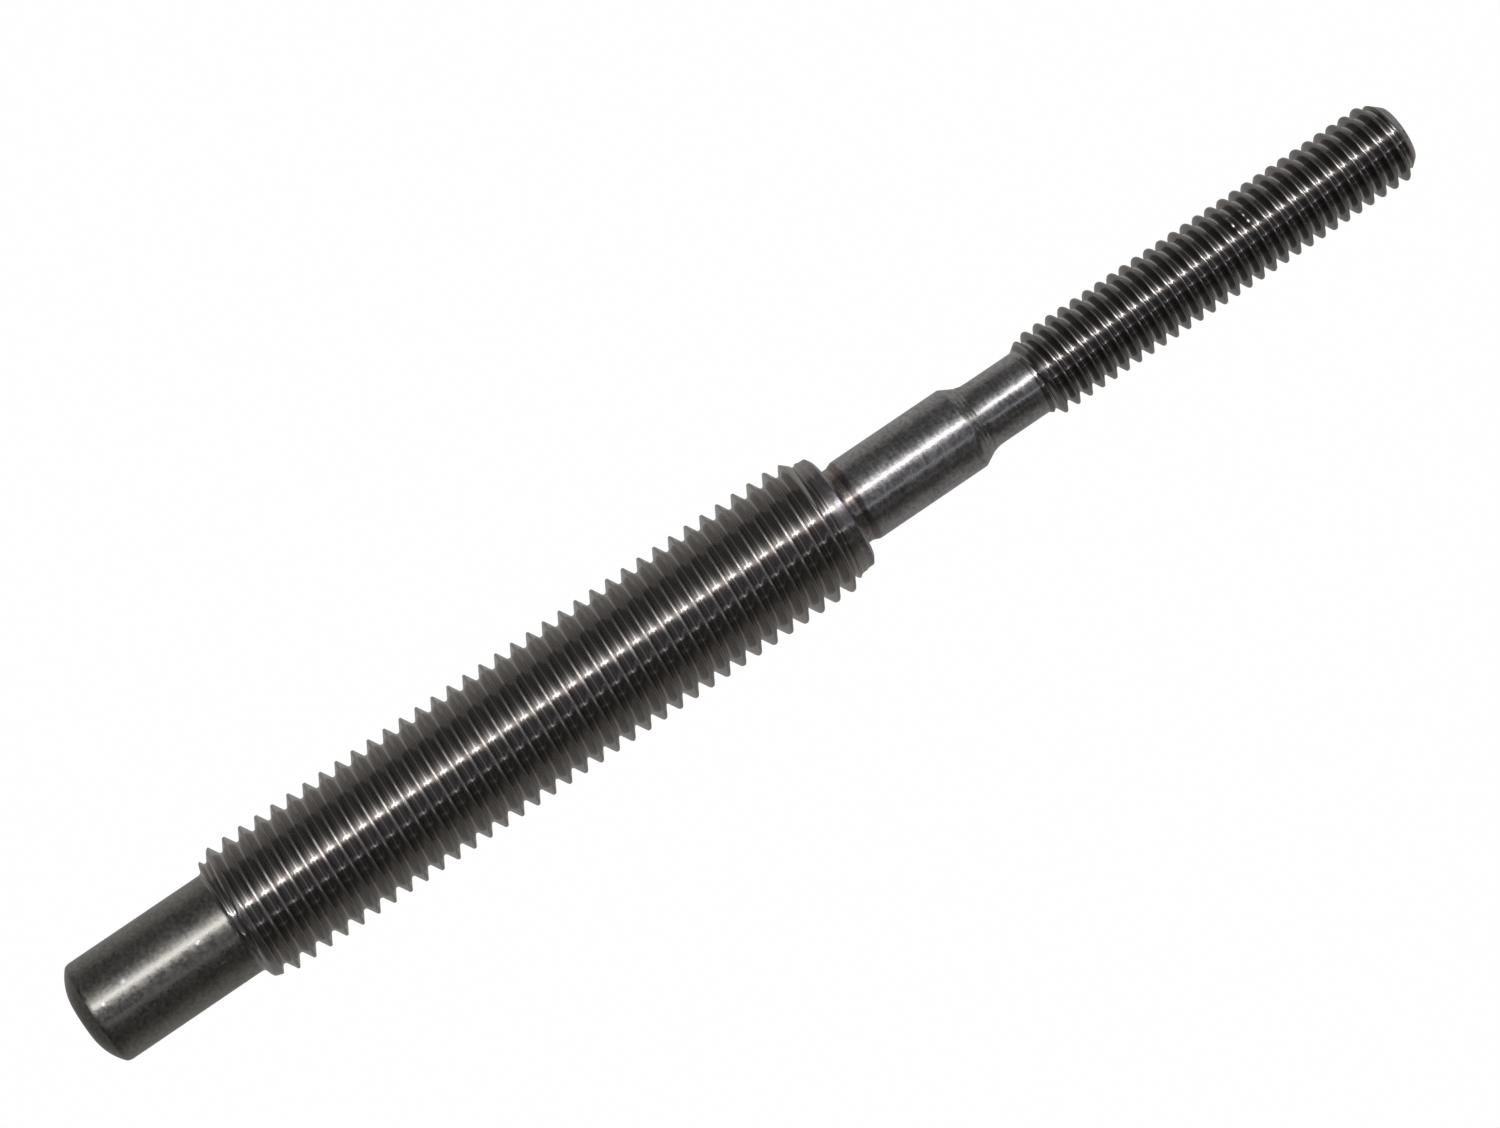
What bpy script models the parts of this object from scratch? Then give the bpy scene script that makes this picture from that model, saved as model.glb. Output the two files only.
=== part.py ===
"""Threaded spindle: one turned steel bar with two threads of opposite hand.

Frame: metres, +Z up. The bar lies along +X. The origin is the centre of the pilot's flat end face, so X is
the distance from that face. From left to right: pilot, left-hand 60-degree thread, collar, flat shoulder,
relief groove, shank, cone, neck, right-hand 60-degree thread, chamfered end.

Every solid of revolution is drawn about local Z with the Screw modifier and then laid over so that local Z
becomes world X.
"""
import math

import bpy
import bmesh
from mathutils import Matrix

MM = 0.001

# ---------------------------------------------------------------- driving dimensions (millimetres)
LENGTH = 83.80                 # over both end faces

PILOT_D = 5.95                 # plain journal at the left end
PILOT_FACE_D = 2.00            # flat left in the middle of its crowned end
PILOT_CROWN_D = 5.80           # rim of the crown
PILOT_CROWN_LENGTH = 0.80
PILOT_CROWN_SAGITTA = 0.17
PILOT_EDGE_BREAK = 0.22        # length of the small chamfer between the crown and the pilot
PILOT_END = 9.16               # where the large thread starts

LARGE_MAJOR_D = 7.84           # M8 x 1 left-hand
LARGE_PITCH = 1.00
LARGE_HAND = -1
LARGE_CREST_AT = 27.245        # a crest crosses the +Y side at this X
LARGE_START_D = 6.88           # smallest diameter of the lead-in chamfer
LARGE_LEAD_IN = 1.15           # length of the lead-in chamfer
LARGE_END = 46.62              # where the far chamfer runs out into the collar
LARGE_RUN_OUT = 0.56           # length of the far chamfer

COLLAR_D = 6.79
COLLAR_CHAMFER = 0.28
SHOULDER = 47.62               # plane of the flat shoulder, facing +X

RELIEF_D = 4.50
RELIEF_WIDTH = 0.53
RELIEF_RUN_UP = 0.34
RELIEF_FILLET = 0.16           # radius between the shoulder and the groove's floor
SHOULDER_INNER_D = 4.94        # the flat of the shoulder starts here, clear of the shank
SHANK_D = 4.80
SHANK_END = 55.37
CONE_LENGTH = 1.12
NECK_D = 3.68

SMALL_MAJOR_D = 4.83           # M5 x 0.8 right-hand
SMALL_PITCH = 0.80
SMALL_HAND = 1
SMALL_CREST_AT = 71.320
SMALL_START = 59.80
SMALL_LEAD_IN = 0.68
SMALL_END_CHAMFER = 0.90
SMALL_FACE_D = 3.30            # flat left inside the end chamfer

# ISO 60-degree thread form, as fractions of the pitch
CREST_FLAT = 1.0 / 8.0
ROOT_FLAT = 1.0 / 6.0
FLANK_TAN = math.tan(math.radians(30.0))

THREAD_STEPS = 16              # facets per turn of a thread
ROUND_STEPS = 32               # facets round a plain diameter

LAY_OVER = (0.0, math.radians(90.0), 0.0)   # local Z becomes world X


# ---------------------------------------------------------------- scene and collections
for old in list(bpy.data.objects):
    bpy.data.objects.remove(old, do_unlink=True)
for old in list(bpy.data.meshes):
    bpy.data.meshes.remove(old)


def collection(name):
    found = bpy.data.collections.get(name)
    if found is None:
        found = bpy.data.collections.new(name)
        bpy.context.scene.collection.children.link(found)
    return found


PARTS = collection("threaded_spindle_parts")
CUTTERS = collection("threaded_spindle_cutters")


def steel(name, colour, roughness):
    mat = bpy.data.materials.new(name)
    mat.use_nodes = True
    shader = mat.node_tree.nodes["Principled BSDF"]
    shader.inputs["Base Color"].default_value = (*colour, 1.0)
    shader.inputs["Metallic"].default_value = 1.0
    shader.inputs["Roughness"].default_value = roughness
    return mat


# ---------------------------------------------------------------- turned shapes
def polyline(name, points, target):
    """An open or closed chain of edges in the local XZ plane; points are (along, radius) in millimetres."""
    mesh = bpy.data.meshes.new(name)
    verts = [(r * MM, 0.0, x * MM) for x, r in points]
    edges = [(i, i + 1) for i in range(len(verts) - 1)]
    mesh.from_pydata(verts, edges, [])
    obj = bpy.data.objects.new(name, mesh)
    target.objects.link(obj)
    return obj


def screw(obj, steps, pitch=0.0, turns=1):
    mod = obj.modifiers.new("turn", "SCREW")
    mod.axis = "Z"
    mod.angle = 2.0 * math.pi
    mod.steps = steps
    mod.render_steps = steps
    mod.screw_offset = pitch * MM
    mod.iterations = turns
    mod.use_merge_vertices = pitch == 0.0
    mod.merge_threshold = 1e-6
    mod.use_smooth_shade = False
    return mod


def evaluated_mesh(obj, name):
    depsgraph = bpy.context.evaluated_depsgraph_get()
    mesh = bpy.data.meshes.new_from_object(obj.evaluated_get(depsgraph), depsgraph=depsgraph)
    mesh.name = name
    return mesh


def turned(name, points, target):
    """A closed solid of revolution. The profile is given left to right and is drawn from the top down."""
    obj = polyline(name, list(reversed(points)), target)
    screw(obj, ROUND_STEPS)
    obj.rotation_euler = LAY_OVER
    return obj


def arc(x0, r0, x1, r1, bulge, count):
    """Points of a shallow arc from (x0, r0) to (x1, r1); bulge is its sagitta, outward when positive."""
    points = []
    dx, dr = x1 - x0, r1 - r0
    length = math.hypot(dx, dr)
    for i in range(count + 1):
        t = i / count
        lift = bulge * 4.0 * t * (1.0 - t)
        points.append((x0 + dx * t - dr / length * lift, r0 + dr * t + dx / length * lift))
    return points


# ---------------------------------------------------------------- helical threads
def thread_solid(name, major_d, pitch, hand, crest_at, start, end):
    """A threaded cylinder from start to end with flat ends, made by screwing one pitch of the thread form."""
    crest = CREST_FLAT * pitch
    root = ROOT_FLAT * pitch
    flank = (pitch - crest - root) / 2.0
    major_r = major_d / 2.0
    minor_r = major_r - flank / FLANK_TAN

    form = [(0.0, minor_r), (root, minor_r), (root + flank, major_r),
            (root + flank + crest, major_r), (pitch, minor_r)]
    crest_centre = root + flank + crest / 2.0

    # The profile stands at local angle 0; the +Y side of the finished bar is local angle 90 degrees.
    at_zero = crest_at - hand * pitch / 4.0
    turns = int(math.ceil((end - start) / pitch)) + 4
    if hand > 0:
        shift = math.floor((start - pitch - at_zero) / pitch) * pitch
    else:
        shift = math.ceil((end + pitch - at_zero) / pitch) * pitch
    base = at_zero + shift - crest_centre

    seed = polyline(name + "_form", [(base + x, r) for x, r in form], CUTTERS)
    screw(seed, THREAD_STEPS, pitch=hand * pitch, turns=turns)
    mesh = evaluated_mesh(seed, name)
    bpy.data.objects.remove(seed, do_unlink=True)

    bm = bmesh.new()
    bm.from_mesh(mesh)
    bmesh.ops.remove_doubles(bm, verts=bm.verts, dist=1e-6)
    for plane, side in ((start, -1.0), (end, 1.0)):
        geometry = bm.verts[:] + bm.edges[:] + bm.faces[:]
        bmesh.ops.bisect_plane(bm, geom=geometry, dist=1e-8, plane_co=(0.0, 0.0, plane * MM),
                               plane_no=(0.0, 0.0, side), clear_outer=True)
    rim = [edge for edge in bm.edges if edge.is_boundary]
    bmesh.ops.holes_fill(bm, edges=rim, sides=0)
    bmesh.ops.triangulate(bm, faces=[face for face in bm.faces if len(face.verts) > 4])
    bmesh.ops.recalc_face_normals(bm, faces=bm.faces)
    bm.to_mesh(mesh)
    bm.free()

    obj = bpy.data.objects.new(name, mesh)
    CUTTERS.objects.link(obj)
    obj.rotation_euler = LAY_OVER
    return obj


def boolean(obj, tool, operation):
    mod = obj.modifiers.new(operation.lower(), "BOOLEAN")
    mod.operation = operation
    mod.solver = "EXACT"
    mod.object = tool
    return mod


def hide_tool(obj):
    obj.hide_render = True
    obj.display_type = "WIRE"


# ---------------------------------------------------------------- the turned bar under the threads
pilot_r = PILOT_D / 2.0
collar_r = COLLAR_D / 2.0
relief_r = RELIEF_D / 2.0
shank_r = SHANK_D / 2.0
neck_r = NECK_D / 2.0
large_core_r = pilot_r + 0.14            # stays under the root of the large thread
small_core_r = neck_r - 0.12             # stays under the root of the small thread
cone_foot = SHANK_END + CONE_LENGTH

profile = [(0.0, 0.0), (0.0, PILOT_FACE_D / 2.0)]
profile += arc(0.0, PILOT_FACE_D / 2.0, PILOT_CROWN_LENGTH, PILOT_CROWN_D / 2.0, PILOT_CROWN_SAGITTA, 6)[1:]
profile += [(PILOT_CROWN_LENGTH + PILOT_EDGE_BREAK, pilot_r)]
profile += [(PILOT_END - 0.20, pilot_r), (PILOT_END - 0.05, pilot_r + 0.04), (PILOT_END, large_core_r)]
profile += [(LARGE_END - 0.02, large_core_r), (LARGE_END - 0.02, collar_r)]
profile += [(SHOULDER - COLLAR_CHAMFER, collar_r), (SHOULDER, collar_r - COLLAR_CHAMFER)]
profile += arc(SHOULDER, SHOULDER_INNER_D / 2.0, SHOULDER + RELIEF_FILLET, relief_r, -0.06, 3)
profile += [(SHOULDER + RELIEF_WIDTH, relief_r)]
profile += [(SHOULDER + RELIEF_WIDTH + RELIEF_RUN_UP, shank_r), (SHANK_END, shank_r)]
profile += arc(SHANK_END, shank_r, cone_foot, neck_r, -0.08, 5)[1:]
profile += [(SMALL_START + 0.02, neck_r), (SMALL_START + 0.02, small_core_r)]
profile += [(LENGTH - 0.45, small_core_r - 0.18), (LENGTH - 0.45, 0.0)]

spindle = turned("threaded_spindle", profile, PARTS)
spindle.data.materials.append(steel("dark_turned_steel", (0.20, 0.195, 0.19), 0.34))

# ---------------------------------------------------------------- large left-hand thread
large_thread = thread_solid("large_thread_tool", LARGE_MAJOR_D, LARGE_PITCH, LARGE_HAND, LARGE_CREST_AT,
                            PILOT_END - 0.30, LARGE_END + 0.30)
over = LARGE_MAJOR_D / 2.0 + 0.25
lead_slope = (LARGE_MAJOR_D - LARGE_START_D) / 2.0 / LARGE_LEAD_IN
end_d = COLLAR_D - 0.07
end_slope = (LARGE_MAJOR_D - end_d) / 2.0 / LARGE_RUN_OUT
large_envelope = turned("large_thread_envelope", [
    (PILOT_END, 0.0), (PILOT_END, LARGE_START_D / 2.0),
    (PILOT_END + (over - LARGE_START_D / 2.0) / lead_slope, over),
    (LARGE_END - (over - end_d / 2.0) / end_slope, over),
    (LARGE_END, end_d / 2.0), (LARGE_END + 0.12, end_d / 2.0 - 0.02), (LARGE_END + 0.12, 0.0)], CUTTERS)
boolean(large_thread, large_envelope, "INTERSECT")

# ---------------------------------------------------------------- small right-hand thread
small_thread = thread_solid("small_thread_tool", SMALL_MAJOR_D, SMALL_PITCH, SMALL_HAND, SMALL_CREST_AT,
                            SMALL_START - 0.40, LENGTH + 0.30)
over = SMALL_MAJOR_D / 2.0 + 0.25
lead_slope = (SMALL_MAJOR_D - NECK_D) / 2.0 / SMALL_LEAD_IN
end_slope = (SMALL_MAJOR_D - SMALL_FACE_D) / 2.0 / SMALL_END_CHAMFER
small_envelope = turned("small_thread_envelope", [
    (SMALL_START - 0.10, 0.0), (SMALL_START - 0.10, neck_r - 0.10 * lead_slope),
    (SMALL_START + (over - neck_r) / lead_slope, over),
    (LENGTH - (over - SMALL_FACE_D / 2.0) / end_slope, over),
    (LENGTH, SMALL_FACE_D / 2.0), (LENGTH, 0.0)], CUTTERS)
boolean(small_thread, small_envelope, "INTERSECT")

for tool in (large_thread, large_envelope, small_thread, small_envelope):
    hide_tool(tool)

boolean(spindle, large_thread, "UNION")
boolean(spindle, small_thread, "UNION")

# closes the hair-thin slivers that the joins leave between near-coincident corners
weld = spindle.modifiers.new("weld", "WELD")
weld.merge_threshold = 0.000004
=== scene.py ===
import math

import bpy
import bmesh
import numpy as np
from mathutils import Matrix, Vector


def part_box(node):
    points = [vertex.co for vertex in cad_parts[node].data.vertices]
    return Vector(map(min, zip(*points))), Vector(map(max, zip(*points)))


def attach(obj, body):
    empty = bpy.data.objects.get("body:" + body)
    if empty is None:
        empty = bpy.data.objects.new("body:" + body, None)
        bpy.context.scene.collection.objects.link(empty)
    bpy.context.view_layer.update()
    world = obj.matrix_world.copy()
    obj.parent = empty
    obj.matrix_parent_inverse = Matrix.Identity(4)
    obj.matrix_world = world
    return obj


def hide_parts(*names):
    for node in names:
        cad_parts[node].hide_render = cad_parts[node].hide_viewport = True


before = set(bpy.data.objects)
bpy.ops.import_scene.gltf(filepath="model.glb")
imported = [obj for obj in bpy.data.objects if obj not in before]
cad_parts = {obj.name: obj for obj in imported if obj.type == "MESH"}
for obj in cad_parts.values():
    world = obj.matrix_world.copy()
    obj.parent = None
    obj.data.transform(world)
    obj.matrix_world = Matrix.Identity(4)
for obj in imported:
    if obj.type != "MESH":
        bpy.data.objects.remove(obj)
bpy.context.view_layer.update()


NODE = "threaded_spindle"
LOW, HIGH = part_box(NODE)

MM = 0.001
LENGTH = (HIGH.x - LOW.x) / MM          # over both end faces
COLUMNS = 128                           # points round the bar

# ---------------------------------------------------------------- the two threads (millimetres)
LARGE = {"major": 3.920, "pitch": 1.0, "hand": -1, "crest": 27.245, "corner": 0.038,
         "cut": (9.12, 47.06), "burr": 0.0120, "seed": 3}
SMALL = {"major": 2.415, "pitch": 0.8, "hand": 1, "crest": 71.320, "corner": 0.045,
         "cut": (59.70, 83.56), "burr": 0.0060, "seed": 11,
         # small dents in two neighbouring crests: (which crest, degrees round the bar)
         "nicks": [(2, 52.5), (3, 54.0), (2, 72.0), (3, 77.0), (3, 68.0)]}

# rows of points across half a groove, from the root (0) to the crest (0.5), in pitches
HALF_ROWS = (0.035, 0.070, 0.105, 0.135, 0.220, 0.310, 0.400, 0.425, 0.450)
ROWS = [-u for u in reversed(HALF_ROWS)] + [0.0] + list(HALF_ROWS) + [0.5]

# outline of the turned blank that the threads are cut into: (distance along the bar, radius)
BLANK = [(0.0, 2.975), (9.06, 2.975), (9.20, 3.000), (9.29, 3.060), (9.35, 3.340), (9.46, 3.560), (9.84, 3.685),
         (10.19, 3.865), (10.45, 4.100), (45.86, 4.100), (46.05, 3.905), (46.60, 3.420), (46.78, 3.395),
         (46.96, 3.392), (47.08, 3.340), (50.0, 3.340), (50.2, 1.875), (59.74, 1.875), (60.50, 2.440), (60.80, 2.700),
         (82.55, 2.700), (83.80, 1.655), (84.5, 1.655)]

# deepest that a groove may be, which lets the large thread run out before the collar
FLOOR = [(0.0, 0.0), (45.9, 3.10), (46.72, 3.20), (46.84, 3.31), (46.95, 3.45), (47.0, 3.45), (47.1, 0.0), (90.0, 0.0)]


def smooth_min(a, b, k):
    h = np.maximum(k - np.abs(a - b), 0.0) / k
    return np.minimum(a, b) - h * h * k * 0.25


def smooth_max(a, b, k):
    return -smooth_min(-a, -b, k)


def table(points, x, soft=0.045):
    """An outline read at x, with its corners softened over about +-soft."""
    px, pr = zip(*points)
    return sum(w * np.interp(x + s * soft, px, pr) for s, w in ((-1, 0.2), (-0.5, 0.2), (0, 0.2), (0.5, 0.2), (1, 0.2)))


def ripple(x, seed, low, high, count):
    """A repeatable irregular wave of height about +-1, built from sines."""
    rng = np.random.default_rng(seed)
    out = np.zeros_like(x)
    for f, phase, gain in zip(np.geomspace(low, high, count), rng.uniform(0, 2 * math.pi, count),
                              rng.uniform(0.5, 1.0, count)):
        out += gain * np.sin(2 * math.pi * f * x + phase)
    return out / math.sqrt(count)


def thread_radius(spec, u, x, theta):
    """Radius of the thread at a distance u (in pitches) from the middle of its groove, at x along the bar."""
    p = spec["pitch"]
    deepest = spec["major"] - 0.61343 * p
    arc = 0.1443 * p
    apex = deepest - arc
    across = np.abs(u) * p
    flank = apex + across / math.tan(math.radians(30.0))
    hollow = deepest + arc - np.sqrt(np.maximum(arc ** 2 - np.minimum(across, 0.125 * p) ** 2, 0.0))
    r = np.where(across < 0.125 * p, hollow, flank)
    crest_x = x - u * p + np.where(u >= 0, 0.5, -0.5) * p
    burr = spec["burr"] * ripple(crest_x, spec["seed"], 2.0, 40.0, 11)
    r = smooth_min(r, spec["major"] + burr, spec["corner"])
    for n, degrees_round in spec.get("nicks", ()):
        at = math.radians(degrees_round)
        nick_x = spec["crest"] + p * (n + spec["hand"] * at / (2.0 * math.pi))
        r = r - 0.085 * np.exp(-(((x - nick_x) / 0.10) ** 2 + ((theta - at) * spec["major"] / 0.11) ** 2))
    r = smooth_max(r, table(FLOOR, x), 0.03)
    return smooth_min(r, table(BLANK, x), 0.035)


def thread_grid(bm, spec, flank_layer):
    """A helical sheet of points over one thread, trimmed square at both ends. Returns its two end rings."""
    p, hand, (start, end) = spec["pitch"], spec["hand"], spec["cut"]
    groove = spec["crest"] + 0.5 * p
    first = int(math.floor((start - groove) / p)) - 2
    last = int(math.ceil((end - groove) / p)) + 2
    theta = 2.0 * math.pi * np.arange(COLUMNS) / COLUMNS
    row_u = np.array([u for _ in range(first, last + 1) for u in ROWS])
    row_n = np.array([n for n in range(first, last + 1) for _ in ROWS])
    x = groove + (row_n + row_u)[:, None] * p + hand * p * theta[None, :] / (2.0 * math.pi)
    u = np.repeat(row_u[:, None], COLUMNS, axis=1)
    r = thread_radius(spec, u, x, theta[None, :])
    co = np.stack([x, r * np.cos(theta)[None, :], r * np.sin(theta)[None, :]], axis=-1) * MM
    rows, step = len(row_u), len(ROWS) * hand
    keep = (x > start - 1.2 * p) & (x < end + 1.2 * p)
    verts = {}
    for i in range(rows):
        for j in range(COLUMNS):
            if keep[i, j]:
                v = bm.verts.new(co[i, j])
                v[flank_layer] = abs(row_u[i])
                verts[i, j] = v
    for i in range(rows - 1):
        for j in range(COLUMNS):
            if j + 1 < COLUMNS:
                quad = ((i, j), (i, j + 1), (i + 1, j + 1), (i + 1, j))
            else:
                quad = ((i, j), (i + step, 0), (i + 1 + step, 0), (i + 1, j))
            found = [verts.get(q) for q in quad]
            if None not in found:
                bm.faces.new(found)
    mine = [f for f in bm.faces if f.verts[0][flank_layer] > -0.5 and not f.tag]
    for plane, side in ((start, -1.0), (end, 1.0)):
        mine = [f for f in mine if f.is_valid]
        geom = set(mine)
        for f in mine:
            geom.update(f.verts)
            geom.update(f.edges)
        bmesh.ops.bisect_plane(bm, geom=list(geom), dist=1e-9, plane_co=(plane * MM, 0, 0), plane_no=(side, 0, 0),
                               clear_outer=True)
    for f in bm.faces:
        f.tag = True
    rings = []
    for plane in (start, end):
        rim = {v for e in bm.edges if e.is_boundary for v in e.verts if abs(v.co.x - plane * MM) < 1e-8}
        slots, extra = {}, []
        for v in rim:
            a = math.atan2(v.co.z, v.co.y) / (2.0 * math.pi) * COLUMNS
            j = round(a)
            if abs(a - j) < 0.002 and (j % COLUMNS) not in slots:
                slots[j % COLUMNS] = v
            else:
                extra.append((v, a))
        target = {v: slots[round(a) % COLUMNS] for v, a in extra}
        bmesh.ops.weld_verts(bm, targetmap=target)
        rings.append([slots[j] for j in range(COLUMNS)])
    return rings


def ring(bm, x, r, flank_layer):
    out = []
    for j in range(COLUMNS):
        t = 2.0 * math.pi * j / COLUMNS
        v = bm.verts.new((x * MM, r * math.cos(t) * MM, r * math.sin(t) * MM))
        v[flank_layer] = -1.0
        out.append(v)
    return out


def bridge(bm, a, b, made):
    for j in range(COLUMNS):
        k = (j + 1) % COLUMNS
        made.append(bm.faces.new((a[j], a[k], b[k], b[j])))


def rounded(points, radius):
    """Rows of points along an outline whose corners are rounded, with rows close beside each corner.
    points are (x, r) or (x, r, corner radius)."""
    out = []
    count = len(points)
    for i, point in enumerate(points):
        c = Vector(point[:2])
        if i in (0, count - 1):
            out.append(tuple(c))
            continue
        size = point[2] if len(point) > 2 else radius
        before, after = Vector(points[i - 1][:2]) - c, Vector(points[i + 1][:2]) - c
        reach = min(size, before.length * 0.45, after.length * 0.45)
        a, b = c + before.normalized() * reach, c + after.normalized() * reach
        lead_in, lead_out = (c + before.normalized() * min(reach * 1.5, before.length * 0.49),
                             c + after.normalized() * min(reach * 1.5, after.length * 0.49))
        out.append(tuple(lead_in))
        for k in range(5):
            t = k / 4.0
            q = a * (1 - t) ** 2 + c * 2 * t * (1 - t) + b * t * t
            out.append(tuple(q))
        out.append(tuple(lead_out))
    rows = [out[0]]
    for q in out[1:]:
        gap = math.dist(rows[-1], q)
        if gap < 1e-4:
            continue
        parts = int(gap // 0.9)
        here = rows[-1]
        for k in range(1, parts + 1):
            t = k / (parts + 1)
            rows.append((here[0] + (q[0] - here[0]) * t, here[1] + (q[1] - here[1]) * t))
        rows.append(q)
    return rows


def plain(bm, rows, flank_layer, first=None, last=None):
    """Faces through rows of (x, r), joined to an existing ring at either end; a free end is closed flat."""
    made = []
    rings = [ring(bm, x, r, flank_layer) for x, r in rows]
    for a, b in zip(rings, rings[1:]):
        bridge(bm, a, b, made)
    if first is None:
        made.append(bm.faces.new(list(reversed(rings[0]))))
    else:
        bridge(bm, first, rings[0], made)
    if last is None:
        made.append(bm.faces.new(rings[-1]))
    else:
        bridge(bm, rings[-1], last, made)
    for f in made:
        f.tag = True
    return made


def build_spindle():
    bm = bmesh.new()
    flank = bm.verts.layers.float.new("flank")
    large = thread_grid(bm, LARGE, flank)
    large_faces = set(bm.faces)
    small = thread_grid(bm, SMALL, flank)
    small_faces = set(bm.faces) - large_faces

    crown = [(0.80 * t - 0.922 * 0.17 * 4 * t * (1 - t), 1.0 + 1.9 * t + 0.388 * 0.17 * 4 * t * (1 - t), 0.2)
             for t in (0.125, 0.25, 0.375, 0.5, 0.625, 0.75, 0.875)]
    pilot_rows = rounded([(0.0, 0.25), (0.0, 0.95, 0.10)] + crown
                         + [(0.80, 2.895, 0.05), (1.00, 2.972, 0.14), (1.50, 2.975), (9.00, 2.975), (9.10, 2.977)], 0.05)
    pilot = plain(bm, pilot_rows, flank, None, large[0])

    middle_rows = rounded([
        (47.14, 3.340), (47.41, 3.340, 0.05), (47.60, 3.050, 0.05), (47.60, 2.47, 0.05), (47.66, 2.31, 0.05),
        (47.79, 2.250, 0.05), (48.14, 2.250, 0.05), (48.49, 2.398, 0.06), (48.8, 2.400), (55.35, 2.400, 0.03)]
        + [(55.38 + 0.12 * k, 2.385 - 0.0640 * k + (0.0060 if k % 2 else -0.0060), 0.04) for k in range(1, 7)]
        + [(56.24, 1.965, 0.20), (56.48, 1.892, 0.12), (56.9, 1.875, 0.1), (59.68, 1.875)], 0.05)
    middle = plain(bm, middle_rows, flank, large[1], small[0])

    end_rows = rounded([(83.58, 1.839), (LENGTH, 1.655, 0.035), (LENGTH, 0.25)], 0.03)
    tip = plain(bm, end_rows, flank, small[1], None)

    for f in bm.faces:
        f.smooth = True
        c = f.calc_center_median()
        x = c.x / MM
        if f in large_faces:
            f.material_index = 1
        elif f in small_faces:
            f.material_index = 2
        elif x < 9.2:
            f.material_index = 0
        elif x < 47.64:
            f.material_index = 4
        else:
            f.material_index = 3
    bmesh.ops.recalc_face_normals(bm, faces=bm.faces)
    mesh = bpy.data.meshes.new("spindle_surface")
    bm.to_mesh(mesh)
    bm.free()
    obj = bpy.data.objects.new("spindle_surface", mesh)
    bpy.context.scene.collection.objects.link(obj)
    return obj


# ---------------------------------------------------------------- materials
class Graph:
    def __init__(self, name):
        self.mat = bpy.data.materials.new(name)
        self.mat.use_nodes = True
        self.tree = self.mat.node_tree
        self.shader = self.tree.nodes["Principled BSDF"]

    def node(self, kind, **settings):
        n = self.tree.nodes.new(kind)
        for key, value in settings.items():
            setattr(n, key, value)
        return n

    def link(self, a, b):
        self.tree.links.new(a, b)

    def stretched(self, scale):
        coord = self.node("ShaderNodeTexCoord")
        mapping = self.node("ShaderNodeMapping")
        mapping.inputs["Scale"].default_value = scale
        self.link(coord.outputs["Object"], mapping.inputs["Vector"])
        return mapping.outputs["Vector"]

    def noise(self, vector, scale=1.0, detail=3.0, rough=0.55):
        n = self.node("ShaderNodeTexNoise")
        n.inputs["Scale"].default_value = scale
        n.inputs["Detail"].default_value = detail
        n.inputs["Roughness"].default_value = rough
        self.link(vector, n.inputs["Vector"])
        return n.outputs["Fac"]

    def span(self, value, low, high, out_low, out_high, smooth=False):
        n = self.node("ShaderNodeMapRange")
        if smooth:
            n.interpolation_type = "SMOOTHSTEP"
        for name, v in (("From Min", low), ("From Max", high), ("To Min", out_low), ("To Max", out_high)):
            n.inputs[name].default_value = v
        self.link(value, n.inputs["Value"])
        return n.outputs["Result"]

    def math(self, op, a, b):
        n = self.node("ShaderNodeMath", operation=op)
        for socket, v in ((n.inputs[0], a), (n.inputs[1], b)):
            if isinstance(v, (int, float)):
                socket.default_value = v
            else:
                self.link(v, socket)
        return n.outputs[0]

    def colour(self, factor, dark, light):
        n = self.node("ShaderNodeMix", data_type="RGBA")
        self.link(factor, n.inputs["Factor"])
        self.tint(n.inputs[6], dark)
        self.tint(n.inputs[7], light)
        return n.outputs[2]

    def times(self, colour, factor):
        n = self.node("ShaderNodeMix", data_type="RGBA", blend_type="MULTIPLY")
        n.inputs["Factor"].default_value = 1.0
        self.tint(n.inputs[6], colour)
        self.tint(n.inputs[7], factor)
        return n.outputs[2]

    def tint(self, socket, value):
        if isinstance(value, tuple):
            socket.default_value = (*value, 1.0)
        else:
            self.link(value, socket)


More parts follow.
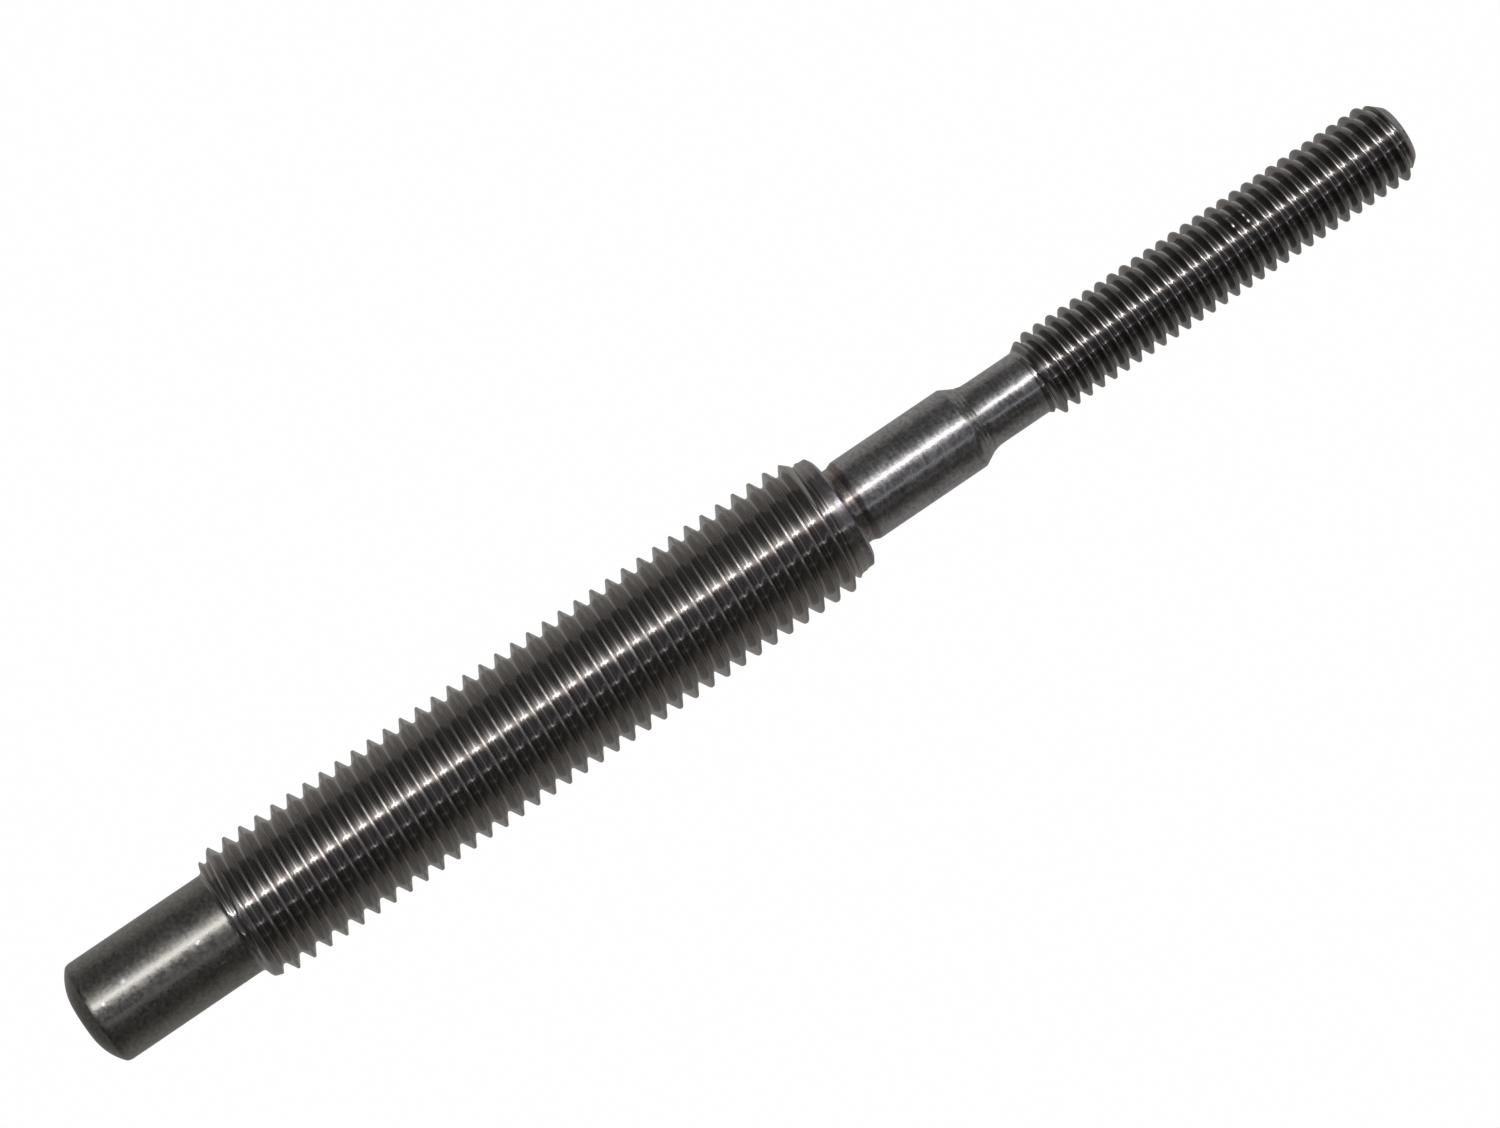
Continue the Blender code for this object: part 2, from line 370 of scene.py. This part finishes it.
def turned_steel(name, dark, light, rough, streak, bump, painted_shade_bands=(), glints_and_smears=()):
    """Turned steel: fine marks run round the bar, with mottled colour and gloss.
    The bands given as (from, to, share of light kept, tint) along the bar are painted shade that darkens the colour
    there; the spots given as (x, degrees, radius, size, colour) are lighter spots painted into the colour: painted
    glints in the highlight band, lighter smears elsewhere."""
    g = Graph(name)
    g.shader.inputs["Metallic"].default_value = 1.0
    g.shader.inputs["Anisotropic"].default_value = 0.3
    g.shader.inputs["Anisotropic Rotation"].default_value = 0.25
    tangent = g.node("ShaderNodeTangent", direction_type="RADIAL", axis="X")
    g.link(tangent.outputs["Tangent"], g.shader.inputs["Tangent"])
    streaks = g.noise(g.stretched((5200.0, 1500.0, 1500.0)), detail=3.0, rough=0.6)
    mottle = g.noise(g.stretched((4600.0, 4600.0, 4600.0)), detail=2.0, rough=0.5)
    clouds = g.noise(g.stretched((800.0, 600.0, 600.0)), detail=3.0)
    lines = g.noise(g.stretched((26000.0, 900.0, 900.0)), detail=2.0)
    mix = g.math("ADD", g.math("MULTIPLY", streaks, streak), g.math("MULTIPLY", mottle, 0.75 - streak))
    mix = g.math("ADD", mix, g.math("MULTIPLY", clouds, 0.25))
    body = g.colour(g.span(mix, 0.40, 0.60, 0.0, 1.0), dark, light)
    along = g.node("ShaderNodeSeparateXYZ")
    g.link(g.node("ShaderNodeTexCoord").outputs["Object"], along.inputs[0])
    # painted shade: each band darkens the colour from start to end by the share kept, with a tint
    for start, end, keep, tint in painted_shade_bands:
        wobble = g.math("ADD", along.outputs[0], g.math("MULTIPLY", g.math("SUBTRACT", clouds, 0.5), 0.0004))
        inside = g.math("MULTIPLY", g.span(wobble, (start - 0.09) * MM, (start + 0.09) * MM, 0.0, 1.0, smooth=True),
                        g.span(wobble, (end - 0.09) * MM, (end + 0.09) * MM, 1.0, 0.0, smooth=True))
        body = g.colour(inside, body, g.times(body, tuple(keep * c for c in tint)))
    # painted glints and smears: each spot lifts the colour towards a lighter level at a given place on the bar
    for x, turn, radius, size, level in glints_and_smears:
        a = math.radians(turn)
        far = g.node("ShaderNodeVectorMath", operation="DISTANCE")
        g.link(g.node("ShaderNodeTexCoord").outputs["Object"], far.inputs[0])
        far.inputs[1].default_value = (x * MM, radius * math.cos(a) * MM, radius * math.sin(a) * MM)
        body = g.colour(g.span(far.outputs["Value"], size * 0.3 * MM, size * MM, 1.0, 0.0, smooth=True), body, (level, level, level))
    g.link(body, g.shader.inputs["Base Color"])
    g.link(g.span(mix, 0.40, 0.60, rough[0], rough[1]), g.shader.inputs["Roughness"])
    height = g.math("ADD", g.math("MULTIPLY", lines, 0.3), g.math("MULTIPLY", mottle, 0.7))
    b = g.node("ShaderNodeBump")
    b.inputs["Strength"].default_value = 1.0
    b.inputs["Distance"].default_value = bump
    g.link(height, b.inputs["Height"])
    g.link(b.outputs["Normal"], g.shader.inputs["Normal"])
    return g.mat


def thread_steel(name, flank_dark, flank_light, crest, root, rough, crest_rough, root_rough, pitch, bump):
    """Threaded steel: tool marks follow the groove, crests are rubbed lighter and duller, roots are glossier."""
    g = Graph(name)
    g.shader.inputs["Metallic"].default_value = 1.0
    attribute = g.node("ShaderNodeAttribute", attribute_name="flank")
    flank = attribute.outputs["Fac"]
    coord = g.node("ShaderNodeTexCoord")
    parts = g.node("ShaderNodeSeparateXYZ")
    g.link(coord.outputs["Object"], parts.inputs[0])
    joined = g.node("ShaderNodeCombineXYZ")
    g.link(g.math("MULTIPLY", flank, 22.0 * pitch), joined.inputs[0])
    g.link(g.math("MULTIPLY", parts.outputs[1], 500.0), joined.inputs[1])
    g.link(g.math("MULTIPLY", parts.outputs[2], 500.0), joined.inputs[2])
    marks = g.noise(joined.outputs[0], detail=3.0)
    clouds = g.noise(g.stretched((1300.0, 1300.0, 1300.0)), detail=4.0, rough=0.6)
    mix = g.math("ADD", g.math("MULTIPLY", marks, 0.55), g.math("MULTIPLY", clouds, 0.45))
    body = g.colour(g.span(mix, 0.33, 0.67, 0.0, 1.0), flank_dark, flank_light)
    worn = g.span(flank, 0.405, 0.445, 0.0, 1.0, smooth=True)
    body = g.colour(g.span(flank, 0.09, 0.15, 0.0, 1.0, smooth=True), root, body)
    g.link(g.colour(worn, body, crest), g.shader.inputs["Base Color"])
    plain_rough = g.math("MULTIPLY", g.span(mix, 0.3, 0.7, rough[0], rough[1]),
                         g.span(flank, 0.08, 0.16, root_rough / (0.5 * (rough[0] + rough[1])), 1.0, smooth=True))
    n = g.node("ShaderNodeMix", data_type="FLOAT")
    g.link(worn, n.inputs["Factor"])
    g.link(plain_rough, n.inputs[2])
    n.inputs[3].default_value = crest_rough
    g.link(n.outputs[0], g.shader.inputs["Roughness"])
    b = g.node("ShaderNodeBump")
    b.inputs["Strength"].default_value = 1.0
    b.inputs["Distance"].default_value = bump
    g.link(mix, b.inputs["Height"])
    g.link(b.outputs["Normal"], g.shader.inputs["Normal"])
    return g.mat


spindle = build_spindle()
# the pilot's colour has lighter spots painted in: painted glints in its highlight band and lighter smears away from it
spindle.data.materials.append(turned_steel("pilot_steel", (0.275, 0.267, 0.252), (0.43, 0.42, 0.40),
                                           (0.26, 0.36), 0.25, 0.0000045,
                                           glints_and_smears=[(7.20, 88.0, 2.975, 0.12, 0.85), (7.32, 87.0, 2.975, 0.10, 0.75),
                                                   (7.70, 119.0, 2.975, 0.12, 0.62), (7.84, 119.5, 2.975, 0.10, 0.62),
                                                   (8.50, 108.0, 2.975, 0.10, 0.60), (8.72, 108.5, 2.975, 0.08, 0.60),
                                                   (3.02, 77.6, 2.975, 0.16, 0.66), (1.55, 86.0, 2.975, 0.13, 0.65)]))
spindle.data.materials.append(thread_steel("large_thread_steel", (0.405, 0.385, 0.377), (0.54, 0.516, 0.506),
                                           (0.46, 0.445, 0.435), (0.48, 0.465, 0.458), (0.12, 0.17), 0.25, 0.07,
                                           1.0, 0.00000028))
spindle.data.materials.append(thread_steel("small_thread_steel", (0.245, 0.233, 0.230), (0.335, 0.318, 0.314),
                                           (0.48, 0.465, 0.461), (0.60, 0.581, 0.572), (0.15, 0.20), 0.18, 0.06,
                                           0.8, 0.00000028))
# the shank's colour carries painted shade with a brown tint in the relief groove and on its ramp, and a slight
# green-grey painted shade on the cone
spindle.data.materials.append(turned_steel("shank_steel", (0.37, 0.363, 0.371), (0.66, 0.65, 0.667),
                                           (0.20, 0.29), 0.40, 0.0000065,
                                           painted_shade_bands=[(47.60, 48.14, 0.85, (1.0, 0.90, 0.84)),
                                                   (48.14, 48.50, 0.54, (1.0, 0.90, 0.88)),
                                                   (55.40, 56.45, 0.92, (0.98, 1.0, 0.96))]))
spindle.data.materials.append(turned_steel("collar_steel", (0.32, 0.298, 0.322), (0.53, 0.495, 0.537),
                                           (0.19, 0.28), 0.45, 0.0000055))
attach(spindle, "root")
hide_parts(NODE)

# ---------------------------------------------------------------- floor, light and camera
floor_mesh = bpy.data.meshes.new("floor")
floor_bm = bmesh.new()
bmesh.ops.create_grid(floor_bm, x_segments=8, y_segments=8, size=6.0)
floor_bm.to_mesh(floor_mesh)
floor_bm.free()
floor = bpy.data.objects.new("floor", floor_mesh)
bpy.context.scene.collection.objects.link(floor)
floor.location = ((LOW.x + HIGH.x) / 2, 0.0, LOW.z - 0.00002)

g = Graph("pale_floor")
g.tree.nodes.remove(g.shader)
path = g.node("ShaderNodeLightPath")
place = g.node("ShaderNodeSeparateXYZ")
g.link(g.node("ShaderNodeTexCoord").outputs["Object"], place.inputs[0])
beyond = g.math("MAXIMUM", g.math("SUBTRACT", g.math("ABSOLUTE", place.outputs[0], 0.0), LENGTH * MM / 2), 0.0)
away = g.math("SQRT", g.math("ADD", g.math("POWER", beyond, 2.0), g.math("POWER", g.math("ABSOLUTE", place.outputs[1], 0.0), 2.0)), 0.0)
# painted light, as glow, that the steel reflects of the floor: brightest beside the bar, and duller further off
fade = g.node("ShaderNodeValToRGB")
g.link(g.math("SQRT", g.math("DIVIDE", away, 0.25), 0.0), fade.inputs["Fac"])
FADE = [(0.0, 0.30), (0.126, 0.29), (0.155, 0.27), (0.283, 0.20), (0.49, 0.165), (1.0, 0.13)]
while len(fade.color_ramp.elements) > 1:
    fade.color_ramp.elements.remove(fade.color_ramp.elements[-1])
for n, (at, level) in enumerate(FADE):
    e = fade.color_ramp.elements[0] if n == 0 else fade.color_ramp.elements.new(at)
    e.position = at
    e.color = (level, level * 0.975, level * 0.94, 1.0)
reflected = g.node("ShaderNodeEmission")
g.link(fade.outputs["Color"], reflected.inputs["Color"])
# the painted glow is darker off the pilot's end, and lighter off the other end and on the side that the softbox leans
# to
lighter = g.math("MULTIPLY", g.span(place.outputs[1], -0.004, 0.010, 1.0, 1.30, smooth=True),
                 g.span(place.outputs[0], 0.046, 0.060, 1.0, 1.5, smooth=True))
g.link(g.math("MULTIPLY", g.span(place.outputs[0], -0.048, -0.041, 0.52, 1.0, smooth=True), lighter),
       reflected.inputs["Strength"])
plain_white = g.node("ShaderNodeEmission")
plain_white.inputs["Color"].default_value = (0.995, 0.995, 0.995, 1.0)
either = g.node("ShaderNodeMixShader")
g.link(path.outputs["Is Camera Ray"], either.inputs[0])
g.link(reflected.outputs[0], either.inputs[1])
g.link(plain_white.outputs[0], either.inputs[2])
g.link(either.outputs[0], g.tree.nodes["Material Output"].inputs["Surface"])
floor.data.materials.append(g.mat)

world = bpy.data.worlds.new("studio")
bpy.context.scene.world = world
world.use_nodes = True
tree = world.node_tree
tree.nodes.clear()


def wnode(kind, **settings):
    n = tree.nodes.new(kind)
    for key, value in settings.items():
        setattr(n, key, value)
    return n


def wmath(op, a, b):
    n = wnode("ShaderNodeMath", operation=op)
    for socket, v in ((n.inputs[0], a), (n.inputs[1], b)):
        if isinstance(v, (int, float)):
            socket.default_value = v
        else:
            tree.links.new(v, socket)
    return n.outputs[0]


w_coord = wnode("ShaderNodeTexCoord")
w_parts = wnode("ShaderNodeSeparateXYZ")
tree.links.new(w_coord.outputs["Generated"], w_parts.inputs[0])
# angle from straight up, towards -Y when positive, as a share of a half turn
angle = wmath("ARCTAN2", wmath("MULTIPLY", w_parts.outputs[1], -1.0), w_parts.outputs[2])
# overhead and towards +Y, the room is turned a little about the vertical
sideways = wmath("MINIMUM", wmath("MAXIMUM", w_parts.outputs[0], -0.06), 0.16)
lean = wnode("ShaderNodeMapRange")
for socket_name, value in (("From Min", math.radians(4.0)), ("From Max", math.radians(22.0)),
                           ("To Min", math.radians(36.0)), ("To Max", 0.0)):
    lean.inputs[socket_name].default_value = value
tree.links.new(angle, lean.inputs["Value"])
turned = wmath("SUBTRACT", angle, wmath("MULTIPLY", wmath("SUBTRACT", sideways, 0.108), lean.outputs["Result"]))
share = wmath("ADD", wmath("DIVIDE", turned, 2.0 * math.pi), 0.5)
ramp = wnode("ShaderNodeValToRGB")
tree.links.new(share, ramp.inputs["Fac"])


def degrees(a):
    return a / 360.0 + 0.5


STOPS = [(-90, (0.105, 0.103, 0.099)), (-73, (0.086, 0.085, 0.082)), (-55, (0.088, 0.087, 0.085)),
         (-39, (0.135, 0.134, 0.132)), (-31, (0.25, 0.248, 0.244)), (-23, (0.57, 0.563, 0.555)),
         (-18, (1.15, 1.135, 1.12)), (-15, (1.80, 1.775, 1.75)), (-13, (1.90, 1.87, 1.845)),
         (-10, (1.90, 1.87, 1.845)), (-8, (1.10, 1.08, 1.07)), (-5.5, (0.42, 0.41, 0.412)),
         (-2.5, (0.25, 0.243, 0.25)),
         (2, (0.170, 0.163, 0.171)), (10, (0.130, 0.125, 0.135)), (24, (0.115, 0.112, 0.120)),
         (29.3, (0.130, 0.130, 0.135)), (30.0, (0.78, 0.793, 0.815)), (32.2, (0.78, 0.793, 0.815)),
         (33.0, (0.066, 0.064, 0.063)), (54, (0.050, 0.047, 0.045)), (56, (0.13, 0.125, 0.12)),
         (58.5, (0.13, 0.125, 0.12)), (60, (0.050, 0.047, 0.044)), (72, (0.056, 0.053, 0.048)),
         (80, (0.085, 0.081, 0.074)), (90, (0.115, 0.109, 0.101))]
elements = ramp.color_ramp.elements
while len(elements) > 1:
    elements.remove(elements[-1])
elements[0].position = degrees(STOPS[0][0])
elements[0].color = (*STOPS[0][1], 1.0)
for at, colour in STOPS[1:]:
    e = elements.new(degrees(at))
    e.color = (*colour, 1.0)

seen = wnode("ShaderNodeBackground")
seen.inputs["Color"].default_value = (1.0, 1.0, 1.0, 1.0)
seen.inputs["Strength"].default_value = 0.995
lit = wnode("ShaderNodeBackground")
tree.links.new(ramp.outputs["Color"], lit.inputs["Color"])
# the room is darker off the pilot's end of the bar
end_shade = wnode("ShaderNodeMapRange")
for socket_name, value in (("From Min", -0.85), ("From Max", -0.30), ("To Min", 0.50), ("To Max", 1.0)):
    end_shade.inputs[socket_name].default_value = value
tree.links.new(w_parts.outputs[0], end_shade.inputs["Value"])
tree.links.new(end_shade.outputs["Result"], lit.inputs["Strength"])
w_path = wnode("ShaderNodeLightPath")
w_mix = wnode("ShaderNodeMixShader")
w_out = wnode("ShaderNodeOutputWorld")
tree.links.new(w_path.outputs["Is Camera Ray"], w_mix.inputs[0])
tree.links.new(lit.outputs[0], w_mix.inputs[1])
tree.links.new(seen.outputs[0], w_mix.inputs[2])
tree.links.new(w_mix.outputs[0], w_out.inputs[0])


def area_light(name, angle_from_up, distance, start, end, width, radiance, colour):
    """A softbox parallel to the bar, from start to end in x, leaning by an angle from straight up
    (towards -Y when positive)."""
    length = end - start
    data = bpy.data.lights.new(name, "AREA")
    data.shape = "RECTANGLE"
    data.size, data.size_y = length, width
    data.energy = radiance * math.pi * length * width
    data.color = colour
    obj = bpy.data.objects.new(name, data)
    bpy.context.scene.collection.objects.link(obj)
    a = math.radians(angle_from_up)
    away = Vector((0.0, -math.sin(a), math.cos(a)))
    obj.location = Vector(((start + end) / 2, 0.0, 0.0)) + away * distance
    x_axis = Vector((1.0, 0.0, 0.0))
    z_axis = away
    y_axis = z_axis.cross(x_axis)
    obj.matrix_world = Matrix((
        (x_axis.x, y_axis.x, z_axis.x, obj.location.x),
        (x_axis.y, y_axis.y, z_axis.y, obj.location.y),
        (x_axis.z, y_axis.z, z_axis.z, obj.location.z),
        (0, 0, 0, 1)))
    return obj


# one long softbox in two lengths, the length beyond the collar dimmer
area_light("key_strip_a", -12.3, 0.50, -0.430, 0.112, 0.034, 6.4, (1.0, 0.98, 0.965))
area_light("key_strip_b", -11.3, 0.50, 0.112, 0.560, 0.034, 2.6, (1.0, 0.98, 0.965))

# The camera looks down on the bar, which runs up to the right at 34 degrees and a little away from it.
VIEW_TILT = math.radians(6.15)
VIEW_ROLL = math.radians(34.08)
DISTANCE = 0.2462
AIM = Vector((0.04199, 0.000337, 0.0))
forward = Vector((math.sin(VIEW_TILT), 0.0, -math.cos(VIEW_TILT)))
along = Vector((math.cos(VIEW_TILT), 0.0, math.sin(VIEW_TILT)))
across = Vector((0.0, 1.0, 0.0))
right = along * math.cos(VIEW_ROLL) - across * math.sin(VIEW_ROLL)
up = along * math.sin(VIEW_ROLL) + across * math.cos(VIEW_ROLL)
where = AIM - forward * DISTANCE
camera_data = bpy.data.cameras.new("camera")
camera_data.sensor_width = 36.0
camera_data.lens = 36.0 * 4686.0 / 1500.0
camera_data.clip_start = 0.01
camera_data.clip_end = 20.0
camera = bpy.data.objects.new("camera", camera_data)
bpy.context.scene.collection.objects.link(camera)
camera.matrix_world = Matrix((
    (right.x, up.x, -forward.x, where.x),
    (right.y, up.y, -forward.y, where.y),
    (right.z, up.z, -forward.z, where.z),
    (0, 0, 0, 1)))
bpy.context.scene.camera = camera
bpy.context.scene.view_settings.view_transform = "Standard"
bpy.context.scene.view_settings.look = "None"
